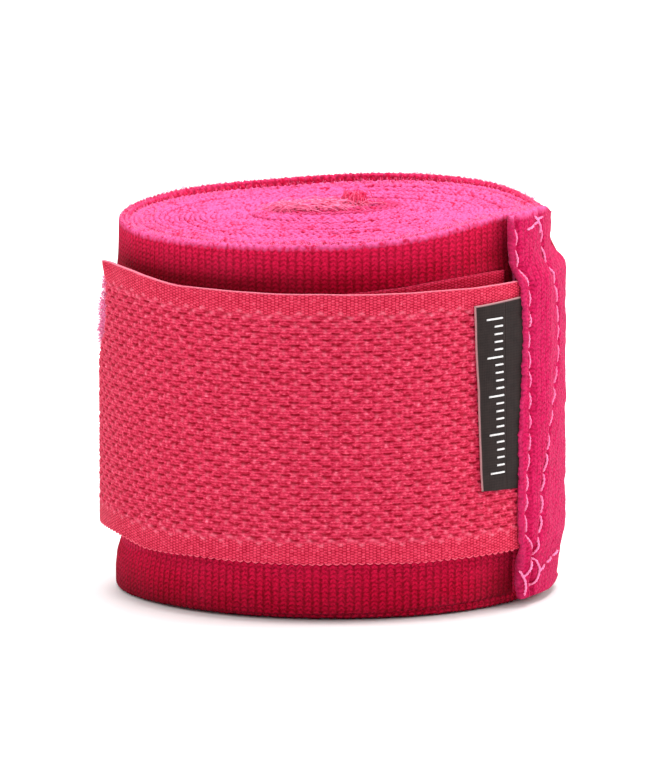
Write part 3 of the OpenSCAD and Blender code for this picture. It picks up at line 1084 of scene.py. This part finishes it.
def edge_loops(number, from_s, to_s):
    """Thread loops along the lower selvedge of one stretch."""
    end = HOOK_RUN - 0.4 * MM if callable(to_s) else to_s
    starts = np.arange(max(from_s, 0.4 * MM), end - LOOP_PITCH, LOOP_PITCH)[:, None]
    t = np.linspace(0.0, 1.0, 8)[None, :]
    s = starts + LOOP_PITCH * t
    low, _ = tape_edges(s)
    z = low + (0.10 - 0.17 * np.sin(math.pi * t)) * MM
    lift = tape_lift(s, z) - 0.12 * MM + 0.10 * MM * np.sin(math.pi * t)
    paths = on_roll(tape_angle(s), lift, z)
    shades = rng.uniform(0.0, 0.5, len(starts))
    group = tube_group(f"tape_edge_loops_{number + 1}", paths, 0.08 * MM, 6, hook_nylon, shades)
    bend_with_tape(group, number)
    return group


def hook_rows(number, from_s, to_s):
    """Crooks on the inner face of one stretch, each leaning up or down."""
    end = HOOK_RUN - 5.5 * MM if callable(to_s) else to_s
    s0, z0 = np.meshgrid(np.arange(max(from_s, 1.2 * MM), end, HOOK_PITCH),
                         np.arange(TAPE_LOW + 3.9 * MM, TAPE_HIGH - 3.2 * MM, HOOK_PITCH), indexing="ij")
    s0, z0 = s0.ravel(), z0.ravel()
    s0 = s0 + rng.uniform(-0.2, 0.2, len(s0)) * MM
    z0 = z0 + rng.uniform(-0.2, 0.2, len(s0)) * MM
    lean = rng.choice([-1.0, 1.0], len(s0))[:, None]
    stem = np.array([[0.0, 0.02], [0.02, -0.18], [0.06, -0.34], [0.18, -0.42], [0.27, -0.33]]) * MM
    z = z0[:, None] + lean * stem[None, :, 0]
    s = s0[:, None] + 0.3 * stem[None, :, 0]
    lift = tape_lift(s, z) - TAPE_THICK + stem[None, :, 1]
    paths = on_roll(tape_angle(s), lift, z)
    shades = rng.uniform(0.0, 1.0, len(s0))
    group = tube_group(f"hook_rows_{number + 1}", paths, 0.075 * MM, 4, hook_nylon, shades)
    bend_with_tape(group, number)
    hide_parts(f"hook_bed_{number + 1}")
    return group


for number, (from_s, to_s) in enumerate(tape_spans):
    loops, hooks = edge_loops(number, from_s, to_s), hook_rows(number, from_s, to_s)
    print(loops.name, len(loops.data.polygons), hooks.name, len(hooks.data.polygons))

# %% [markdown]
# ## Loop tape
# The loop tape is sewn round the outside of the last full turn. Its backing is woven like the hook
# tape's selvedge. The pile is a field of small standing loops, brushed until they lie every way. The
# hook tape covers most of it, and where its end stops the pile has been pulled up into a soft fuzz.

# %% Loop tape backing and its seam
LOOP_LOW, LOOP_HIGH = (corner.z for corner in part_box("loop_tape"))
LOOP_FROM, LOOP_TO = 210.0, 359.4


def loop_droop(u):
    """The loop tape's upper edge lies lower towards its far end: there the tape is stretched narrower."""
    return 1.7 * MM * ramp(u, 352.0, 305.0) + 1.6 * MM * ramp(u, 246.0, 222.0)


def loop_backing():
    """The loop tape's woven backing, closed round its inner face."""
    run = np.arange(length_at(LOOP_FROM), length_at(LOOP_TO), 0.35 * MM)[:, None]
    u = angle_at(run)
    across = np.linspace(0.0, 1.0, 90)[None, :]
    low = LOOP_LOW + 0.06 * MM * drift(run, 13 * MM, 0.6)
    high = LOOP_HIGH - loop_droop(u) + 0.05 * MM * drift(run, 9 * MM, 1.6)
    z = low + (high - low) * across
    outer = 0.68 * MM + 0.02 * MM * np.sin(2 * math.pi * run / (0.64 * MM)) * np.ones_like(across)
    z_all = np.concatenate([z, z[:, ::-10]], axis=1)
    lift = np.concatenate([outer, np.full((len(run), 9), 0.36 * MM)], axis=1)
    edge_in = np.minimum(z_all - low, high - z_all)
    tags = {"selvedge": ramp(edge_in, 4.0 * MM, 3.0 * MM) * 0.5 + 0.5,
            "border": 0.1 * ramp(edge_in, 0.2 * MM, 0.05 * MM)}
    points = on_roll(u, lift, z_all)
    return swept_mesh("loop_tape_cloth", points, np.stack([run + 0 * z_all, z_all], axis=-1), tags)


loop_cloth = loop_backing()
loop_cloth.data.materials.append(shaded_loop_weave)
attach(loop_cloth, "roll")
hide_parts("loop_tape")

SEAM_PITCH = 3.1 * MM
SEAM_STITCH = 2.5 * MM

seam_paths = []
t = np.linspace(0.0, 1.0, 12)
dip = np.sin(math.pi * t)
seam_lift = (0.66 + 0.14 * dip) * MM
seam_from = float(length_at(LOOP_FROM)) + 1.2 * MM
seam_to = float(length_at(LOOP_TO)) - 3 * MM
for z_row, droop in ((LOOP_LOW + 1.2 * MM, 0.0), (LOOP_HIGH - 2.9 * MM, 0.4)):
    for start in np.arange(seam_from, seam_to, SEAM_PITCH):
        u_row = angle_at(start + SEAM_STITCH * t)
        z_line = z_row - droop * loop_droop(u_row) + 0.05 * MM * dip
        seam_paths.append(on_roll(u_row, seam_lift, z_line))
for z_start in np.arange(LOOP_LOW + 2 * MM, LOOP_HIGH - 4 * MM, SEAM_PITCH):
    seam_paths.append(on_roll(LOOP_FROM + 1.4, seam_lift, z_start + SEAM_STITCH * t))
seam_yarns = two_ply(np.array(seam_paths), 0.07 * MM, 0.9 * MM)
loop_seam = tube_group("loop_tape_seam", seam_yarns, 0.08 * MM, 6, pale_yarn,
                       rng.uniform(0.0, 0.7, len(seam_yarns)))
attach(loop_seam, "roll")
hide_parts("loop_tape_stitches")
print("loop tape", len(loop_cloth.data.polygons), "faces,", len(seam_paths), "stitches")

# %% Loop pile and its fuzz
PILE_LOOPS = 5200
FUZZ_HAIRS = 2800
PILE_BASE = 0.69 * MM


def pile_loops(count):
    """Small arches all over the tape between its two sewn borders."""
    s0 = rng.uniform(length_at(LOOP_FROM + 3.2), length_at(LOOP_TO - 0.6), count)
    z0 = rng.uniform(LOOP_LOW + 2.7 * MM, LOOP_HIGH - 3.9 * MM, count)
    bearing = rng.uniform(0, math.pi, count)
    span = rng.uniform(0.35, 0.75, count) * MM
    height = rng.uniform(0.32, 0.52, count) * MM
    t = np.linspace(-1.0, 1.0, 6)[None, :]
    s = s0[:, None] + np.cos(bearing)[:, None] * span[:, None] * t * 0.5
    z = z0[:, None] + np.sin(bearing)[:, None] * span[:, None] * t * 0.5
    lift = PILE_BASE + height[:, None] * (1 - t ** 2)
    return on_roll(angle_at(s), lift, z)


def pulled_fuzz(count):
    """Hairs pulled out near the pile's open end: half form a tuft, half spread over its height."""
    u0 = rng.uniform(210.6, 216.5, count)
    z0 = rng.normal(35.0, 4.6, count).clip(23.0, 40.2) * MM
    spread = np.arange(count) % 2 == 0
    z0 = np.where(spread, rng.uniform(LOOP_LOW + 2.8 * MM, LOOP_HIGH - 7.0 * MM, count), z0)
    u0 = np.where(spread, rng.uniform(211.5, 224.0, count), u0)
    t = np.linspace(0.0, 1.0, 7)[None, :]
    reach = (rng.uniform(1.0, 2.7, count) * (0.25 + 0.75 * bell(z0, 0.035, 0.008)))[:, None] * MM
    sway = rng.uniform(-1.0, 1.0, (count, 2))
    lift = PILE_BASE + reach * t * (1.15 - 0.3 * t)
    u = u0[:, None] + sway[:, :1] * 2.2 * t ** 2 + 0.9 * sway[:, 1:] * np.sin(5 * t)
    z = z0[:, None] + sway[:, 1:] * 0.9 * MM * t ** 2 + 0.25 * MM * sway[:, :1] * np.sin(6 * t)
    return on_roll(u, lift, z)


pile = tube_group("loop_pile_loops", pile_loops(PILE_LOOPS), 0.042 * MM, 3, pile_yarn,
                  rng.uniform(0, 1, PILE_LOOPS))
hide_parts("loop_pile")
fuzz = tube_group("loop_pile_fuzz", pulled_fuzz(FUZZ_HAIRS), 0.03 * MM, 3, pile_yarn,
                  rng.uniform(0, 0.15, FUZZ_HAIRS))
for piece in (pile, fuzz):
    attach(piece, "roll")
    print(piece.name, len(piece.data.polygons), "faces")

# %% [markdown]
# ## Label
# A black ribbon is sewn into the hem and lies on the tape. It has a fine crosswise rib, a pale line
# along its upper and free edges, and marks like those of a ruler. Its free part turns up at a crease, so the
# label is two pieces: a base from the hem to the crease, and a flap beyond it.

# %% Label
LABEL_LOW, LABEL_HIGH = (corner.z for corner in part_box("label"))
LABEL_RUN = 8.2 * MM
LABEL_SEWN = 1.0 * MM
CREASE = 3.0 * MM
CREASE_END = CREASE + 1.0 * MM
MARKS = 21
LABEL_LIFT = 2.02 * MM


def label_material():
    material, tree, shader = cloth_material("label_ribbon", 0.55, 0.0, rgba(0.9, 0.8, 0.8))
    shader.inputs["Specular IOR Level"].default_value = 0.1
    along, across = cloth_run(tree)
    border = tag_value(tree, "border")
    ribs = (across / 0.36).cosine()
    speck = grain(tree, 900.0)
    worn = (ribs * 0.2 + speck * 0.7 - 0.05).clamp()
    black = blend_colour(tree, worn, rgba(0.009, 0.005, 0.005), rgba(0.030, 0.019, 0.017))
    colour = blend_colour(tree, border, black, rgba(0.80, 0.42, 0.44))
    height = ribs * 0.25 + (along / 0.3).cosine() * 0.3 + speck * 0.3
    finish_cloth(tree, shader, colour, height, 0.35, 0.0001)
    return material


label_ribbon = label_material()
label_print = fibre_material("label_print", rgba(0.86, 0.84, 0.84), rgba(0.55, 0.53, 0.53), 0.5, 0.0)


def label_lift_at(s, z):
    """Lift of the label's outer face. Its upper part stands a little off the tape."""
    wave = 0.10 * MM * drift(z, 14 * MM, 0.9) * ramp(s, 1.0 * MM, 5.0 * MM)
    return LABEL_LIFT + tape_slack(s) + wave + 0.22 * MM * ramp(s, 1 * MM, 8 * MM)


def label_slant(s, z):
    """Length along the tape of a point of the label, whose free edge slants in towards its foot."""
    return s - 1.25 * MM * (LABEL_HIGH - z) / (LABEL_HIGH - LABEL_LOW) * np.clip(s / LABEL_RUN, 0, 1)


def label_piece(name, from_s, to_s):
    """One part of the label between two lengths along the tape, with its pale edge tagged."""
    s = np.linspace(from_s, to_s, 26)[:, None]
    across = np.linspace(0.0, 1.0, 100)[None, :]
    high = LABEL_HIGH + 0.35 * MM * (1 - s / LABEL_RUN).clip(0, 1)
    low = LABEL_LOW - 0.15 * MM + 0.4 * MM * s / LABEL_RUN
    z = low + (high - low) * across
    outer = label_lift_at(s, z)
    z_all = np.concatenate([z, z[:, ::-11]], axis=1)
    lift = np.concatenate([outer, outer[:, ::-11] - 0.26 * MM], axis=1)
    free_edge = ramp(s + 0 * z_all, LABEL_RUN - 0.12 * MM, LABEL_RUN - 0.04 * MM)
    edge = np.maximum(ramp(high - z_all, 0.11 * MM, 0.04 * MM), free_edge)
    s_cut = label_slant(s, z_all)
    points = on_roll(tape_angle(s_cut), lift, z_all)
    piece = swept_mesh(name, points, np.stack([s_cut, z_all], axis=-1), {"border": 0.6 * edge})
    piece.data.materials.append(label_ribbon)
    return piece


label_base = label_piece("label_base", -LABEL_SEWN, CREASE)
label_flap = label_piece("label_flap", CREASE, LABEL_RUN)
bend_with_tape(label_base, 0)
on_tape(CREASE)
on_tape(CREASE_END)
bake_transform(label_flap)
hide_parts("label")
LABEL_H = LABEL_HIGH - LABEL_LOW
for piece, run in ((label_flap, LABEL_RUN - CREASE), (label_base, CREASE + LABEL_SEWN)):
    run * LABEL_H

# %% Label marks
def ruler_marks():
    """Marks like a ruler's: a long one at every fifth, each a low bar on the ribbon."""
    paths = []
    for i in range(MARKS):
        z = LABEL_LOW + (2.4 + i * 1.03) * MM
        length = (2.9 if i % 5 == 0 else 1.5) * MM
        s = np.linspace(3.5 * MM, 3.5 * MM + length, 6)
        paths.append(on_roll(tape_angle(label_slant(s, z)), label_lift_at(s, z) + 0.01 * MM, z))
    return np.array(paths)


label_marks = tube_group("label_marks", ruler_marks(), 0.13 * MM, 6, label_print, np.zeros(MARKS))
on_tape(CREASE)
on_tape(CREASE_END)
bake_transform(label_marks)
print("label pieces", label_base.name, label_flap.name, "and", MARKS, "marks")

# %% [markdown]
# ## Thumb loop and core
# The first turns are wound on the folded thumb loop, a strap doubled back on itself. Its edge stands
# a little proud in the middle, and its brushed yarns spill over it, all swept one way. A strap is a
# closed ring of cloth, and the yarns are about a thousand thin tubes with a bend.

# %% Thumb loop
LOOP_LONG = (loop_box[1].x - loop_box[0].x) / math.cos(CORE_TURN) * 0.97
LOOP_WIDE = 2.8 * MM
STRAP_THICK = 0.7 * MM
STRAP_FOOT = 0.7 * MM
OUTER_ROWS = 30


def slot_ring(share, long, wide):
    """Points round a slot with rounded ends, by share of a turn, in the core's own axes."""
    angle = 2 * math.pi * share
    x = (long - wide) / 2 * np.tanh(3.2 * np.cos(angle)) + wide / 2 * np.cos(angle)
    return x, wide / 2 * np.sin(angle)


def loop_strap():
    """Points and cloth coordinates of the strap's ring, whose last row repeats its first."""
    share = np.linspace(0.0, 1.0, 181)[:-1][:, None]
    level = np.concatenate([np.linspace(0, 1, OUTER_ROWS), [1.0], np.linspace(1, 0, 8)])[None, :]
    side = np.concatenate([np.ones(OUTER_ROWS), [0.0], -np.ones(8)])[None, :]
    swell = 0.66 * MM * side - STRAP_THICK
    x, y = in_core(*slot_ring(share, LOOP_LONG + swell, LOOP_WIDE + swell))
    top = 50.9 * MM + 0.35 * MM * drift(share, 0.31, 0.4) - 0.4 * MM * np.cos(2 * math.pi * share)
    z = STRAP_FOOT + (top - STRAP_FOOT) * level + 0.25 * MM * (side == 0)
    points = np.stack([x, y, z + 0 * x], axis=-1)
    uv = np.stack([share * 30 * MM + 0 * x, z + 0 * x], axis=-1)
    return [np.concatenate([grid, grid[:1]]) for grid in (points, uv)]


strap_points, strap_uv = loop_strap()
# The strap is blended towards the pinker edge colour all over: partly its fuzz, partly a painted highlight
# on its lit top.
strap_tags = {"crest": np.full(strap_points.shape[:2], 0.7)}
thumb_strap = swept_mesh("thumb_loop_strap", strap_points, strap_uv, strap_tags)
thumb_strap.data.materials.append(wrap_cloth)
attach(thumb_strap, "roll")
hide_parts("thumb_loop")

bar_z = np.linspace(4.0, 46.0, 6) * MM
bar_y = np.linspace(-0.8, 0.8, 8)[None, :] * MM
bar_x, bar_yy = in_core(-LOOP_LONG / 4 + 0 * bar_y, bar_y)
bars = np.stack(np.broadcast_arrays(bar_x, bar_yy, bar_z[:, None]), axis=-1)
bar_yarns = two_ply(bars, 0.1 * MM, 0.8 * MM)
bartack = tube_group("thumb_loop_bars", bar_yarns, 0.11 * MM, 6, pale_yarn, np.zeros(len(bar_yarns)))
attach(bartack, "roll")
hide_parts("thumb_loop_bartack")
print("strap", len(thumb_strap.data.polygons), "faces")

# %% Core fibres
def brushed(count, centre, spread, sweep, length, rise, curl):
    """Fibres that start near centre in the core's axes (mm) and sweep one way over the top."""
    t = np.linspace(0.0, 1.0, 9)[None, :]
    x0 = rng.normal(centre[0], spread[0], count)[:, None]
    y0 = rng.normal(centre[1], spread[1], count)[:, None]
    long = rng.uniform(*length, count)[:, None]
    bend = rng.normal(0, curl, (count, 1))
    bearing = np.radians(sweep) + rng.normal(0, 0.35, (count, 1))
    x = x0 + long * t * np.cos(bearing) + bend * t ** 2 * 0.5
    y = y0 + long * t * np.sin(bearing) + bend * t ** 2
    lift = rng.uniform(*rise, count)[:, None]
    z = 50.2 + lift * np.sin(math.pi * (0.12 + 0.74 * t)) + rng.uniform(-0.3, 0.3, (count, 1))
    x, y = in_core(x * MM, y * MM)
    return np.stack([x, y, z * MM], axis=-1)


tuft_pale = brushed(760, (-3.6, 0.3), (2.4, 1.1), -4, (1.5, 4.0), (0.5, 1.3), 0.5)
tuft_red = brushed(260, (2.3, 0.5), (0.6, 0.8), 50, (0.8, 2.0), (0.7, 2.3), 0.6)
knot_red = brushed(140, (-5.2, -0.2), (0.5, 0.4), 60, (0.5, 1.2), (0.4, 1.1), 0.4)
fibre_paths = np.concatenate([tuft_pale, tuft_red, knot_red])
fibre_tint = np.concatenate([rng.uniform(0, 0.35, len(tuft_pale)), rng.uniform(0.7, 1.6, len(tuft_red)),
                             rng.uniform(0.6, 1.4, len(knot_red))])
core_fibres = tube_group("core_fibres", fibre_paths, 0.055 * MM, 4, core_yarn, fibre_tint)
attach(core_fibres, "roll")
print("fibres", len(fibre_paths))

# %% [markdown]
# ## Stray hairs
# Worn cotton is never clean-edged. Short hairs stand along the rim's turns.
# They are too thin to see one by one, and together they soften the outline.

# %% Stray hairs
RIM_HAIRS = 3800


def rim_hairs(count):
    """Short hairs on the upper edge, closer together on the outer turns."""
    u0 = (60.0 + 2600.0 * rng.uniform(0, 1, count) ** 1.6)[:, None]
    t = np.linspace(0.0, 1.0, 5)[None, :]
    sway = rng.normal(0, 1, (count, 3))
    reach = rng.uniform(0.15, 0.55, (count, 1)) * MM
    base = STRIP_W + rim_rise(u0) - 0.05 * MM
    lift = (sway[:, :1] * 0.25 * t + 0.1 * sway[:, 1:2] * t ** 2) * MM - tuck(u0, base)
    return on_roll(u0 + 0.35 * sway[:, 2:] * t ** 2, lift, base + reach * t)


hairs = tube_group("rim_hairs", rim_hairs(RIM_HAIRS), 0.02 * MM, 3, pile_yarn,
                   rng.uniform(0, 0.8, RIM_HAIRS))
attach(hairs, "roll")
print("hairs", len(hairs.data.polygons), "faces")

# %% [markdown]
# ## Floor
# The floor is a wide white sheet. It belongs to the stage and not to the object.

# %% Floor
bpy.ops.mesh.primitive_plane_add(size=6.0, location=(0, 0, 0))
floor = bpy.context.object
floor.name = "floor"
floor_paint = bpy.data.materials.new("floor_paint")
floor_paint.use_nodes = True
floor_shader = floor_paint.node_tree.nodes["Principled BSDF"]
floor_shader.inputs["Base Color"].default_value = rgba(0.93, 0.93, 0.93)
floor_shader.inputs["Roughness"].default_value = 0.6
floor.data.materials.append(floor_paint)
print("floor ready")
